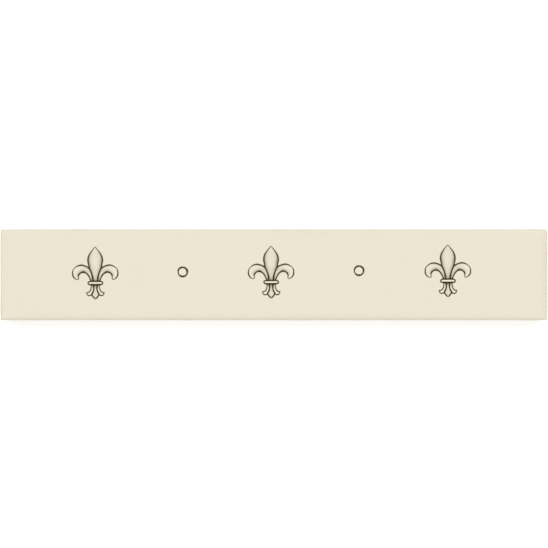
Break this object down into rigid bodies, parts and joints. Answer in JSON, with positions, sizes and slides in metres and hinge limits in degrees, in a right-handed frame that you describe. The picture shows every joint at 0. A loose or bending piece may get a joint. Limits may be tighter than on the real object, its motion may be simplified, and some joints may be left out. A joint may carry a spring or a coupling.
{
  "type": "border tile",
  "caption": "Long narrow glazed ceramic wall tile with a cushioned face, drafted sides and a keyed back, laid in a course as a decorative border between field tiles.",
  "frame": {"origin": "middle of the bed, the flat back that the adhesive meets, on the floor that the tile lies on", "axes": "+X along the length, to the right in the picture; +Y across the width, up the wall in the picture; +Z out of the glazed face"},
  "size_m": [0.1524, 0.0254, 0.007],
  "materials": {
    "glaze": "gloss",
    "biscuit": "matte",
    "printed_line": "gloss"
  },
  "bodies": {
    "root": {"border_tile": "glaze"}
  },
  "joints": []
}
